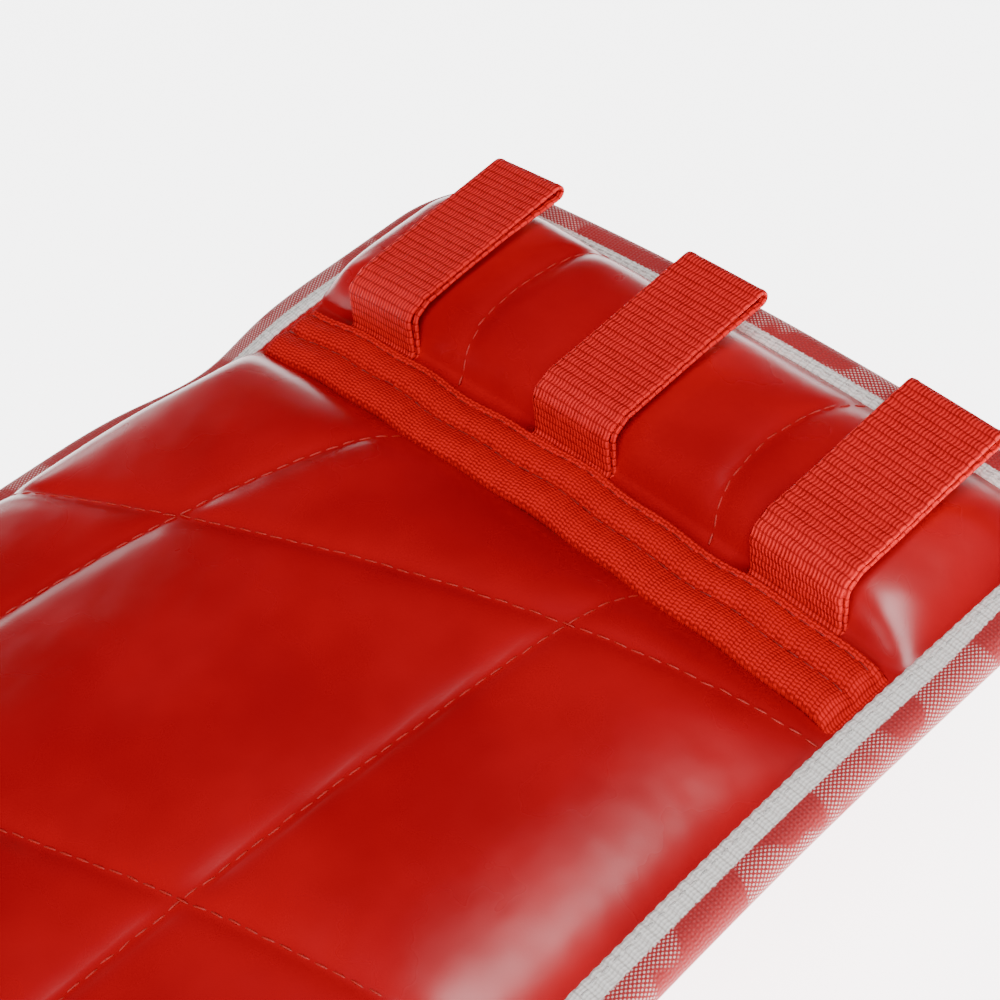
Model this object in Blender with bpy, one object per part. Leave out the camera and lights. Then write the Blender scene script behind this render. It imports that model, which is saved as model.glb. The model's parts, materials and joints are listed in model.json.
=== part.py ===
"""Strike pad for martial arts: a thin quilted pad with a hinged end flap, three webbing belt loops that lie
over that flap, a bound edge, and two forearm straps and a hand grip behind. Metres, +Z up, strike face up, +Y
towards the belt loops. The origin is on the surface that the straps stand on, under the middle of the pad."""

import math

import bmesh
import bpy

# Driving dimensions, in metres.
PAD_LENGTH = 0.400
FLAP_LENGTH = 0.0745
END_HALF_WIDTH = 0.103
BARREL = 0.007
BARREL_CENTRE = -0.040
BARREL_REACH = 0.164
PINCH = 0.0025
PINCH_REACH = 0.016
RIM_HEIGHT = 0.095
FOLD_GAP = 0.0015
MAIN_FOLD_FOOT = 0.0085
FLAP_FOLD_FOOT = 0.0128
FLAP_SHOULDER = 0.75
CORNER_RADIUS = 0.026
GAP = 0.0003

COVER = 0.0012
TAPE = 0.0010
TAPE_WIDTH = 0.0105
STRIP = 0.0015
STRIP_REACH = 0.0095
LOOP_WIDTH = 0.025
LOOP_PITCH = 0.067
LOOP_LAYER = 0.0012
LOOP_LEG_Y = 0.0114
LOOP_HINGE_Z = 0.0078
LOOP_TIP_Y = 0.0635
LOOP_TIP_Z = 0.0199
FACE_CROWN = 0.0115
FLAP_CROWN = 0.0125
BACK_CROWN = 0.0120

STRAP_WIDTH = 0.050
STRAP_THICKNESS = 0.0020
STRAP_HALF_SPAN = 0.062
WRIST_STRAP_Y = 0.040
ELBOW_STRAP_Y = -0.100
BAR_FOLD = 0.0050
RING_BAR_Z = 0.059
RING_WIDTH = 0.056
RING_HEIGHT = 0.014
RING_WIRE = 0.0018
GRIP_Y = 0.086
GRIP_RADIUS = 0.013
GRIP_HALF_LENGTH = 0.050
GRIP_DROP = 0.030
HANGER_X = 0.035
HANGER_WIDTH = 0.018
SWING_ROOM = 0.0018

# Places worked out from them.
FLAP_END_Y = PAD_LENGTH / 2
MAIN_END_Y = -PAD_LENGTH / 2
FOLD_Y = FLAP_END_Y - FLAP_LENGTH
BACK_Z = RIM_HEIGHT - BACK_CROWN
RING_X = STRAP_HALF_SPAN + BAR_FOLD
PATCH_LOW = BACK_Z - GAP - 0.0015
COVER_EDGE = TAPE + GAP
SEAM_HALF = GAP / 2
RIM_TOP = SEAM_HALF + COVER

SIDE_STEPS = 9
CORNER_STEPS = 7
END_STEPS = 4


def material(name, colour, roughness, metallic=0.0):
    made = bpy.data.materials.new(name)
    made.use_nodes = True
    shader = made.node_tree.nodes["Principled BSDF"]
    shader.inputs["Base Color"].default_value = (*colour, 1.0)
    shader.inputs["Roughness"].default_value = roughness
    shader.inputs["Metallic"].default_value = metallic
    return made


def add(name, points, faces, finish, smooth_angle=40):
    """A closed mesh object, with its faces turned outwards."""
    mesh = bpy.data.meshes.new(name)
    mesh.from_pydata(points, [], faces)
    shaper = bmesh.new()
    shaper.from_mesh(mesh)
    bmesh.ops.recalc_face_normals(shaper, faces=shaper.faces)
    shaper.to_mesh(mesh)
    shaper.free()
    mesh.shade_smooth()
    mesh.set_sharp_from_angle(angle=math.radians(smooth_angle))
    mesh.materials.append(finish)
    made = bpy.data.objects.new(name, mesh)
    bpy.context.scene.collection.objects.link(made)
    return made


def loft(name, rings, finish, closed_path=False):
    """Joins rings of equal length in order. An open stack gets a cap at each end."""
    count = len(rings[0])
    points = [point for ring in rings for point in ring]
    faces = []
    last = len(rings) if closed_path else len(rings) - 1
    for i in range(last):
        a, b = i * count, ((i + 1) % len(rings)) * count
        faces += [(a + k, a + (k + 1) % count, b + (k + 1) % count, b + k) for k in range(count)]
    if not closed_path:
        faces += [tuple(range(count)), tuple(range(len(points) - count, len(points)))]
    return add(name, points, faces, finish)


def half_width(y):
    """Half the pad's width at y: a barrel shape over the long part, drawn in at the fold."""
    away = min(1.0, abs(y - BARREL_CENTRE) / BARREL_REACH)
    barrel = BARREL * (1 + math.cos(math.pi * away)) / 2
    pinch = PINCH * math.exp(-(((y - FOLD_Y) / PINCH_REACH) ** 2))
    return END_HALF_WIDTH + barrel - pinch


def u_outline(side, inset, fold_inset):
    """The outline of the long part (side -1) or of the flap (side +1), as an open U from the fold's left end
    round the bound edge to its right end, set in by inset at the edge and by fold_inset at the fold."""
    fold = FOLD_Y + side * (FOLD_GAP + fold_inset)
    end = (FLAP_END_Y if side > 0 else MAIN_END_Y) - side * inset
    half = END_HALF_WIDTH - inset
    radius = max(CORNER_RADIUS - inset, 0.004)
    corner_y = end - side * radius
    left = [(-half, fold + (corner_y - fold) * k / SIDE_STEPS) for k in range(SIDE_STEPS)]
    for k in range(CORNER_STEPS + 1):
        turn = math.pi / 2 * k / CORNER_STEPS
        left.append((-half + radius * (1 - math.cos(turn)), corner_y + side * radius * math.sin(turn)))
    inner = half - radius
    across = [(-inner + 2 * inner * k / END_STEPS, end) for k in range(1, END_STEPS)]
    right = [(-x, y) for x, y in reversed(left)]
    return [(x * (half_width(y) - inset) / half, y) for x, y in left + across + right]


def level(outline, z):
    return [(x, y, RIM_HEIGHT + z) for x, y in outline]


def dome(side, crown, up, shrink=0.0):
    """Rings from the rim up to the crown, along a shoulder that rounds over. shrink draws every ring in and
    down, for the inner face of a cover or the foam inside it."""
    foot, fold_foot = 0.0115, MAIN_FOLD_FOOT if side < 0 else FLAP_FOLD_FOOT
    shoulder = ((0.0, 0.0), (0.0012, 0.42), (0.0045, 0.72), (0.0105, 0.92), (0.0200, 1.0))
    rings = []
    for full_reach, rise in shoulder:
        reach = full_reach * (1.0 if side < 0 else FLAP_SHOULDER)
        z = RIM_TOP + rise * (crown - RIM_TOP) - shrink
        rings.append(level(u_outline(side, foot + reach + shrink, fold_foot + reach * 0.8 + shrink), up * z))
    return rings


def cover(name, side, crown, up, finish):
    """A skin over one face: a flat margin that the tape grips, and a dome. Its wall is COVER thick."""
    seam = up * SEAM_HALF
    inner = dome(side, crown, up, COVER)[::-1]
    margin = [level(u_outline(side, COVER_EDGE, 0), z) for z in (seam, up * RIM_TOP)]
    return loft(name, inner + margin + dome(side, crown, up), finish)


def foam(name, side, crown, up, finish):
    """The block of foam under one cover, from the middle plane to just below the cover."""
    rings = dome(side, crown, up, COVER + GAP)[1:]
    base = [(x, y, RIM_HEIGHT + up * SEAM_HALF * 3) for x, y, _ in rings[0]]
    return loft(name, [base] + rings, finish)


def binding(name, side, finish):
    """Woven tape folded round the edge: a C of two flat legs and a rounded back, swept along the outline."""
    out_z = RIM_TOP + GAP + TAPE
    in_z = RIM_TOP + GAP
    chamfer = TAPE * 0.3
    back = [(chamfer, out_z - chamfer), (0.0, out_z - TAPE), (0.0, TAPE - out_z), (chamfer, chamfer - out_z)]
    section = [(TAPE_WIDTH, out_z), (TAPE, out_z), *back, (TAPE, -out_z), (TAPE_WIDTH, -out_z)]
    section += [(TAPE_WIDTH, -in_z), (TAPE, -in_z), (TAPE, in_z), (TAPE_WIDTH, in_z)]
    lines = [level(u_outline(side, inset, 0), z) for inset, z in section]
    return loft(name, [list(station) for station in zip(*lines)], finish)


def fold_strip(name, side, low, high, finish):
    """A strip of webbing sewn across the pad beside the fold, between the two edge tapes."""
    near, far = FOLD_Y + side * FOLD_GAP, FOLD_Y + side * STRIP_REACH
    half = half_width(FOLD_Y) - TAPE_WIDTH - 4 * GAP
    corners = [(-half, near), (half, near), (half, far), (-half, far)]
    return loft(name, [level(corners, low), level(corners, high)], finish)


def arc(centre, radius, start, end, steps):
    """Points of an arc, in degrees, as (across, up)."""
    turns = [math.radians(start + (end - start) * k / steps) for k in range(steps + 1)]
    return [(centre[0] + radius * math.cos(t), centre[1] + radius * math.sin(t)) for t in turns]


def offset_path(path, distance):
    """The path moved sideways, to its left, by distance."""
    moved = []
    for k, (a, b) in enumerate(path):
        before, after = path[max(k - 1, 0)], path[min(k + 1, len(path) - 1)]
        run, rise = after[0] - before[0], after[1] - before[1]
        length = math.hypot(run, rise)
        moved.append((a - rise / length * distance, b + run / length * distance))
    return moved


def ribbon(name, path, low_side, high_side, low, high, place, finish):
    """A band that follows a path: its faces lie low_side and high_side to the path's left, and it runs from
    low to high across. place(a, b, across) gives the point."""
    section = offset_path(path, low_side) + offset_path(path, high_side)[::-1]
    rings = [[place(a, b, across) for a, b in section] for across in (low, high)]
    return loft(name, rings, finish)


def across_x(a, b, across):
    """A path drawn in Y and Z, with its width along X."""
    return (across, a, b)


def across_y(a, b, across):
    """A path drawn in X and Z, with its width along Y."""
    return (a, across, b)


def rounded_plate(name, centre, size, low, high, radius, finish):
    """A flat patch with round corners."""
    (cx, cy), (hx, hy) = centre, (size[0] / 2 - radius, size[1] / 2 - radius)
    outline = []
    for sx, sy, start in ((1, 1, 0), (-1, 1, 90), (-1, -1, 180), (1, -1, 270)):
        outline += arc((cx + sx * hx, cy + sy * hy), radius, start, start + 90, 4)
    return loft(name, [[(x, y, z) for x, y in outline] for z in (low, high)], finish)


def arm_cushion(name, layers, finish):
    """The cushion that the arm lies on, under the back cover. layers are (draw in, drop) pairs. The cover's
    layers run up the inside and down the outside, which leaves a tray that opens towards the back cover."""
    half_x, low_y, high_y, corner = 0.048, -0.151, 0.066, 0.020
    rings = []
    for inset, drop in layers:
        hx, y0, y1 = half_x - inset, low_y + inset, high_y - inset
        r = corner - inset
        outline = []
        corners = ((hx - r, y1 - r), (r - hx, y1 - r), (r - hx, y0 + r), (hx - r, y0 + r))
        for k, corner_centre in enumerate(corners):
            outline += arc(corner_centre, r, 90 * k, 90 * k + 90, 5)
        rings.append([(x, y, BACK_Z - GAP - drop) for x, y in outline])
    return loft(name, rings, finish)


def belt_loop(name, centre_x, finish):
    """A length of webbing folded double at its tip, as one solid of double thickness. Both ends are sewn under
    the upper strip, where the loop lies flat (the root), turns up beside the strip and stops at the line on
    which the free part swings. The free part goes on up, turns over a knee and lies above the flap."""
    low, high = centre_x - LOOP_WIDTH / 2, centre_x + LOOP_WIDTH / 2
    half = LOOP_LAYER + GAP / 2
    leg, root_z, bend, knee = FOLD_Y + LOOP_LEG_Y, RIM_HEIGHT + RIM_TOP + GAP + half, 0.0018, 0.0035
    root = [(FOLD_Y + 0.0030, root_z), (leg - bend, root_z)]
    root += arc((leg - bend, root_z + bend), bend, -60, 0, 3)
    root.append((leg, RIM_HEIGHT + LOOP_HINGE_Z - half - 0.0003))
    ribbon(f"{name}_root", root, -half, half, low, high, across_x, finish)
    knee_z, tip_y, tip_z = RIM_HEIGHT + 0.0115, FOLD_Y + LOOP_TIP_Y, RIM_HEIGHT + LOOP_TIP_Z
    path = [(leg, RIM_HEIGHT + LOOP_HINGE_Z)]
    path += arc((leg + knee, knee_z), knee, 180, 100, 5)
    path += [(FOLD_Y + 0.030, tip_z - 0.0027), (FOLD_Y + 0.045, tip_z - 0.0009), (tip_y - 0.002, tip_z)]
    turn = arc((tip_y - 0.002, tip_z), half, 60, -60, 4)
    section = offset_path(path, half) + turn + offset_path(path, -half)[::-1]
    return loft(name, [[(across, a, b) for a, b in section] for across in (low, high)], finish)


def forearm_strap(name, y, webbing, hook, patch_finish, metal):
    """One forearm strap: sewn to a patch on the left, round under the arm, up through a ring on the right,
    and folded back over the ring's lower bar as a closing tab that hook-and-loop tape holds."""
    low, high = y - STRAP_WIDTH / 2, y + STRAP_WIDTH / 2
    for side, label in ((-1, "sewn_patch"), (1, "ring_patch")):
        centre = (side * (STRAP_HALF_SPAN + 0.004), y)
        rounded_plate(f"{name}_{label}", centre, (0.028, 0.060), PATCH_LOW, BACK_Z - GAP, 0.004, patch_finish)
    half = STRAP_THICKNESS / 2
    root, side_x, bend, floor = PATCH_LOW - GAP - half, STRAP_HALF_SPAN, 0.034, half
    path = [(-side_x - 0.014, root), (-side_x - 0.005, root)]
    path += arc((-side_x - 0.005, root - 0.005), 0.005, 80, 0, 4)
    path += arc((-side_x + bend, floor + bend), bend, 180, 270, 10)
    path += [(0.0, floor)]
    right = arc((side_x - bend, floor + bend), bend, 270, 360, 10)
    up = [(side_x, RING_BAR_Z - 0.004)]
    over = arc((RING_X, RING_BAR_Z), BAR_FOLD, 180, 20, 7)
    ribbon(f"{name}_strap", path + right + up + over, -half, half, low, high, across_y, webbing)

    tape = 0.0012
    loop_face = (-half - GAP - tape, -half - GAP)
    hook_face = (loop_face[0] - GAP - tape, loop_face[0] - GAP)
    tab_face = (hook_face[0] - GAP - STRAP_THICKNESS, hook_face[0] - GAP)
    margin = 0.003
    outer = right[3:] + [(side_x, RING_BAR_Z - 0.009)]
    ribbon(f"{name}_loop_tape", outer, *loop_face, low + margin, high - margin, across_y, hook)
    ribbon(f"{name}_hook_tape", outer, *hook_face, low + margin, high - margin, across_y, hook)
    tab = right[4:] + [(side_x, RING_BAR_Z - 0.0070)]
    ribbon(f"{name}_closing_tab", tab, *tab_face, low, high, across_y, webbing)
    ring(f"{name}_ring", y, metal)
    ring_tab(f"{name}_ring_tab", low + margin, high - margin, webbing)


def ring(name, y, finish):
    """A rectangular wire ring standing in the YZ plane, with round corners, above its lower bar."""
    corner = 0.004
    hy, hz = RING_WIDTH / 2 - corner, RING_HEIGHT / 2 - corner
    middle = RING_BAR_Z + RING_HEIGHT / 2
    path = []
    for sy, sz, start in ((1, 1, 0), (-1, 1, 90), (-1, -1, 180), (1, -1, 270)):
        path += arc((y + sy * hy, middle + sz * hz), corner, start, start + 90, 4)
    turns = [2 * math.pi * t / 8 for t in range(8)]
    rings = []
    for k, (a, b) in enumerate(path):
        after, before = path[(k + 1) % len(path)], path[k - 1]
        run, rise = after[0] - before[0], after[1] - before[1]
        length = math.hypot(run, rise)
        out = (rise / length * RING_WIRE, -run / length * RING_WIRE)
        rings.append([(RING_X + RING_WIRE * math.cos(t), a + out[0] * math.sin(t), b + out[1] * math.sin(t))
                      for t in turns])
    return loft(name, rings, finish, closed_path=True)


def ring_tab(name, low, high, finish):
    """A short webbing tab folded round the ring's upper bar and sewn flat on its patch."""
    half = 0.0006
    root, bar_z = PATCH_LOW - GAP - half, RING_BAR_Z + RING_HEIGHT
    path = [(RING_X + 0.0110, root), (RING_X + 0.0060, root)]
    path += arc((RING_X + 0.0060, root - 0.0022), 0.0022, 100, 150, 2)
    path += arc((RING_X, bar_z), RING_WIRE + GAP + half, 20, -200, 12)
    path += [(RING_X - 0.0024, root - 0.0012)]
    return ribbon(name, path, -half, half, low, high, across_y, finish)


def across_grip(a, b, across):
    """A path drawn in Y and Z about the grip's swing line, with its width along X."""
    return (across, GRIP_Y + a, b)


def hand_grip(webbing, sleeve, core, patch_finish):
    """A padded roll that hangs in two webbing loops. Each loop is sewn to a patch, and the roll swings on the
    line between the two seams."""
    half = 0.0008
    pivot = PATCH_LOW - GAP
    axis = pivot - GRIP_DROP
    for side, label in ((-1, "left"), (1, "right")):
        centre = (side * HANGER_X, GRIP_Y)
        size = (0.026, 0.026)
        rounded_plate(f"grip_patch_{label}", centre, size, PATCH_LOW, BACK_Z - GAP, 0.004, patch_finish)
        wrap = arc((0.0, axis), GRIP_RADIUS + GAP + half, 78, -258, 22)
        neck = [(0.0012, axis + GRIP_RADIUS + 0.0050), (0.0012, pivot - SWING_ROOM)]
        path = neck[::-1] + wrap + [(-neck[0][0], neck[0][1]), (-neck[1][0], neck[1][1])]
        edge = side * HANGER_X - HANGER_WIDTH / 2
        ribbon(f"grip_hanger_{label}", path, -half, half, edge, edge + HANGER_WIDTH, across_grip, webbing)
    bore = 0.0062
    profile = ((-1.0, bore), (-1.0, 0.0100), (-0.97, 0.0120), (-0.92, GRIP_RADIUS))
    profile += tuple((-along, radius) for along, radius in reversed(profile))
    turned("grip_sleeve", profile, axis, sleeve)
    turned("grip_core", ((-0.98, 0.0), (-0.98, bore - GAP), (0.98, bore - GAP), (0.98, 0.0)), axis, core)


def turned(name, profile, axis, finish):
    """A body of revolution about the grip's own X line. A profile point at radius 0 closes an end."""
    steps = 20
    turns = [2 * math.pi * t / steps for t in range(steps)]
    solid = profile[0][1] == 0.0
    rings = []
    for along, radius in profile:
        if radius:
            x = along * GRIP_HALF_LENGTH
            rings.append([(x, GRIP_Y + radius * math.cos(t), axis + radius * math.sin(t)) for t in turns])
    return loft(name, rings, finish, closed_path=not solid)


def build():
    for item in list(bpy.data.objects):
        bpy.data.objects.remove(item)
    vinyl = material("red_vinyl", (0.48, 0.004, 0.003), 0.38)
    back_vinyl = material("back_vinyl", (0.42, 0.004, 0.003), 0.42)
    woven = material("red_webbing", (0.50, 0.012, 0.006), 0.70)
    tape = material("edge_tape", (0.52, 0.20, 0.19), 0.75)
    soft = material("soft_foam", (0.80, 0.78, 0.70), 0.9)
    firm = material("firm_foam", (0.12, 0.12, 0.13), 0.9)
    hook = material("hook_tape", (0.35, 0.006, 0.005), 0.95)
    steel = material("ring_steel", (0.62, 0.62, 0.64), 0.25, 1.0)

    for side, label, crown in ((-1, "main", FACE_CROWN), (1, "flap", FLAP_CROWN)):
        cover(f"{label}_face_cover", side, crown, 1, vinyl)
        cover(f"{label}_back_cover", side, BACK_CROWN, -1, back_vinyl)
        foam(f"{label}_soft_foam", side, crown, 1, soft)
        foam(f"{label}_firm_foam", side, BACK_CROWN, -1, firm)
        binding(f"{label}_edge_binding", side, tape)
    above = RIM_TOP + GAP
    raised = above + 2 * LOOP_LAYER + 2 * GAP
    fold_strip("lower_face_strip", -1, above, above + STRIP, woven)
    fold_strip("upper_face_strip", 1, raised, raised + STRIP, woven)
    fold_strip("lower_back_strip", -1, -above - STRIP, -above, woven)
    fold_strip("upper_back_strip", 1, -above - STRIP, -above, woven)
    for place, label in ((-1, "left"), (0, "middle"), (1, "right")):
        belt_loop(f"belt_loop_{label}", place * LOOP_PITCH, woven)

    inner = ((0.0112, 0.0110), (0.0052, 0.0090), (0.0015, 0.0048), (0.0015, 0.0))
    outer = ((0.0, 0.0), (0.0, 0.005), (0.003, 0.0105), (0.009, 0.0128))
    arm_cushion("arm_cushion_cover", inner + outer, vinyl)
    arm_cushion("arm_cushion_foam", [(inset + GAP, max(0.0, drop - GAP)) for inset, drop in inner], soft)

    for name, y in (("wrist", WRIST_STRAP_Y), ("elbow", ELBOW_STRAP_Y)):
        forearm_strap(name, y, woven, hook, back_vinyl, steel)
    hand_grip(woven, back_vinyl, firm, back_vinyl)


build()
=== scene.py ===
# %% [markdown]
# # A quilted strike pad, from its frame to its stitches
# The pad is a sandwich of foam between two sheets of coated fabric, sewn through in cells, bound with tape,
# and finished with webbing. The frame gives every piece its place, so this script only adds the looks: each
# piece is a surface worked out as a function of two parameters, and each finish is a small set of nodes.

# %% Load the frame
import json
import math

import bmesh
import bpy
import numpy as np
from mathutils import Matrix, Vector


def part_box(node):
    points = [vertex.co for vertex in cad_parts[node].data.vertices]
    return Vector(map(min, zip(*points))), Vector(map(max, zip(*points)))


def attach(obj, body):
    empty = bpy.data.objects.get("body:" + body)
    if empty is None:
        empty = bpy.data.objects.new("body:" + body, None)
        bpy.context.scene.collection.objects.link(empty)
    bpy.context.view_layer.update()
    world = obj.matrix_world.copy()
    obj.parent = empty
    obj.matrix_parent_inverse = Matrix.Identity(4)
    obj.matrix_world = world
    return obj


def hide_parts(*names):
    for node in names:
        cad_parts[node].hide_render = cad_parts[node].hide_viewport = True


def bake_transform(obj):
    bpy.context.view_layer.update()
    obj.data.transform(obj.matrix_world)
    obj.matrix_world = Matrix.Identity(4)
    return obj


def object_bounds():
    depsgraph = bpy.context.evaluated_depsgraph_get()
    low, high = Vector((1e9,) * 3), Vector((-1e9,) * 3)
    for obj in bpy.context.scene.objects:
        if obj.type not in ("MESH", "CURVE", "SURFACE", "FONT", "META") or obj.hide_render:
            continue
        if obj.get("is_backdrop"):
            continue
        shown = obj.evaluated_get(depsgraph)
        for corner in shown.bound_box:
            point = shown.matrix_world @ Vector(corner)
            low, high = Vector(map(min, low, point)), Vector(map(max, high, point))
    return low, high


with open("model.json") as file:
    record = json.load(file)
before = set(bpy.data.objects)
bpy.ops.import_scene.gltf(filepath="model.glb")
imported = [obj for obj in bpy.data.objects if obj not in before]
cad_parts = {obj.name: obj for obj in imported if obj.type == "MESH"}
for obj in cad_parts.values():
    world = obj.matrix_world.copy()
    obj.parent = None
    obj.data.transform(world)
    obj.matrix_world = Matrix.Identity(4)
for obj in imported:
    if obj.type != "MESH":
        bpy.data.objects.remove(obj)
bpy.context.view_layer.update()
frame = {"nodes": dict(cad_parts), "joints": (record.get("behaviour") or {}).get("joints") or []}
JOINTS = {joint["name"]: joint for joint in frame["joints"]}
MM = 0.001

# %% [markdown]
# Everything is placed from the frame. The fold between the long part and the flap is the joint's own line, and
# the outline comes from the boxes of the two edge bindings. The pad is not quite flat: it is arched across its
# width, as a soft pad is when it is held up by straps near its middle.

# %% Places taken from the frame
FOLD = np.array(JOINTS["flap_fold"]["pos_m"])
FOLD_Y, RIM_Z = FOLD[1], FOLD[2]
MAIN_LOW, MAIN_HIGH = (np.array(corner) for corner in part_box("main_edge_binding"))
FLAP_LOW, FLAP_HIGH = (np.array(corner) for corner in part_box("flap_edge_binding"))
BACK_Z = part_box("main_back_cover")[0][2]
LOOP_BOXES = {side: [np.array(c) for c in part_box(f"belt_loop_{side}")] for side in ("left", "middle", "right")}
MAIN_END, FLAP_END = MAIN_LOW[1], FLAP_HIGH[1]
ARCH = 5.1 * MM
END_HALF = FLAP_HIGH[0] + 3 * MM
BARREL = MAIN_HIGH[0] - FLAP_HIGH[0] - 2 * MM
CORNER = 27 * MM
TAPE_IN = 11 * MM
print("fold at y", round(FOLD_Y, 4), "rim at z", RIM_Z)


def half_width(y):
    """Half the pad's width at y: the flap's half width, plus half a cosine wave over the long part."""
    away = np.clip(np.abs(y + 0.040) / 0.164, 0, 1)
    return END_HALF + BARREL * (1 + np.cos(np.pi * away)) / 2


def rim_height(x, y):
    """Height of the pad's middle plane: an arch across the width that falls with x squared."""
    return RIM_Z - ARCH * (x / 0.092) ** 2 + 0 * y


def drawn_in(points):
    """The left edge is drawn in beside the fold. Points move in by a bell curve along y, kept to the left by
    the fourth power of how far out they are. Every piece of the pad is made straight and then goes through
    this."""
    x, y = points[..., 0], points[..., 1]
    beside = np.exp(-(((y - FOLD_Y + 0.024) / 0.019) ** 2))
    moved = x + 6.0 * MM * beside * np.clip(-x / half_width(y), 0, 1) ** 4
    return np.stack([moved, y, points[..., 2]], -1)


# %% [markdown]
# A mesh is a grid of points. The helper below takes whole arrays, shaped rows by columns by three, and joins
# neighbours with four-sided faces. A grid can close on itself in either direction, which makes tubes and rings.
# The lengths along and across the grid go into a UV map in metres, so a weave keeps its real size.

# %% Grids into meshes
def grid_faces(rows, columns, closed_rows=False, closed_columns=False):
    """Four corners per face, counted row by row, with the last row or column joined to the first if closed."""
    r = np.arange(rows if closed_rows else rows - 1)[:, None]
    c = np.arange(columns if closed_columns else columns - 1)[None, :]
    r2, c2 = (r + 1) % rows, (c + 1) % columns
    corners = (r * columns + c, r * columns + c2, r2 * columns + c2, r2 * columns + c)
    return np.stack([np.broadcast_to(k, (r.size, c.size)) for k in corners], -1).reshape(-1, 4)


def add_piece(name, points, faces, finish, uv=None):
    """A smooth mesh object from arrays. uv is one pair per vertex; the faces' corners read it."""
    mesh = bpy.data.meshes.new(name)
    mesh.from_pydata(points.reshape(-1, 3).tolist(), [], faces.tolist())
    if uv is not None:
        layer = mesh.uv_layers.new(name="weave")
        loops = np.empty(len(mesh.loops), dtype=np.int32)
        mesh.loops.foreach_get("vertex_index", loops)
        layer.data.foreach_set("uv", uv.reshape(-1, 2)[loops].astype(np.float32).ravel())
    mesh.shade_smooth()
    mesh.materials.append(finish)
    piece = bpy.data.objects.new(name, mesh)
    bpy.context.scene.collection.objects.link(piece)
    return piece


def unit(vectors):
    """Vectors divided by their lengths."""
    return vectors / np.linalg.norm(vectors, axis=-1, keepdims=True)


def bell(distance, width):
    """A bell curve: 1 at no distance, falling as the exponential of minus the square."""
    return np.exp(-((distance / width) ** 2))


def arc_length(points, axis=0):
    """Distance along a grid's rows or columns, from the first: a running sum of the steps' lengths."""
    steps = np.linalg.norm(np.diff(points, axis=axis), axis=-1)
    start = np.zeros_like(np.take(steps, [0], axis=axis))
    return np.concatenate([start, np.cumsum(steps, axis=axis)], axis=axis)


def spread(points, spacing):
    """New points along the line through the old ones, evenly spaced at about the given spacing."""
    length = arc_length(points)
    even = np.linspace(0, length[-1], max(2, int(length[-1] / spacing) + 1))
    return np.stack([np.interp(even, length, column) for column in points.T], -1)


def thicken(piece, depth):
    """Gives a sheet its thickness, inwards, with a Solidify modifier."""
    wall = piece.modifiers.new("thickness", "SOLIDIFY")
    wall.thickness, wall.offset = depth, -1.0
    return piece


# %% [markdown]
# A finish is a node tree, and node trees read best as formulas. The class below wraps one output socket and
# gives it Python's operators, so `1 - mask` adds a Math node. Every other node comes from one method, which
# takes the node's type, its settings, and the values or links of its inputs.

# %% Shader maths as expressions
class Signal:
    """One number that varies over a surface."""

    def __init__(self, finish, socket):
        self.finish, self.socket = finish, socket

    def __add__(self, other):
        return self.finish.maths("ADD", self, other)

    def __sub__(self, other):
        return self.finish.maths("SUBTRACT", self, other)

    def __rsub__(self, other):
        return self.finish.maths("SUBTRACT", other, self)

    def __mul__(self, other):
        return self.finish.maths("MULTIPLY", self, other)

    def __truediv__(self, other):
        return self.finish.maths("DIVIDE", self, other)

    def __pow__(self, other):
        return self.finish.maths("POWER", self, other)

    def __abs__(self):
        return self.finish.maths("ABSOLUTE", self)

    __radd__, __rmul__ = __add__, __mul__

    def sine(self):
        """The sine, with a whole turn for each 1 of the signal."""
        return self.finish.maths("SINE", self * (2 * math.pi))

    def part(self):
        """What is left above the whole number below."""
        return self.finish.maths("FRACT", self)

    def rise(self, low, high):
        """0 below low, 1 above high, and a smooth step between."""
        node = self.finish.node("ShaderNodeMapRange", {"interpolation_type": "SMOOTHSTEP"},
                                {"Value": self, "From Min": low, "From Max": high})
        return Signal(self.finish, node.outputs["Result"])


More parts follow.
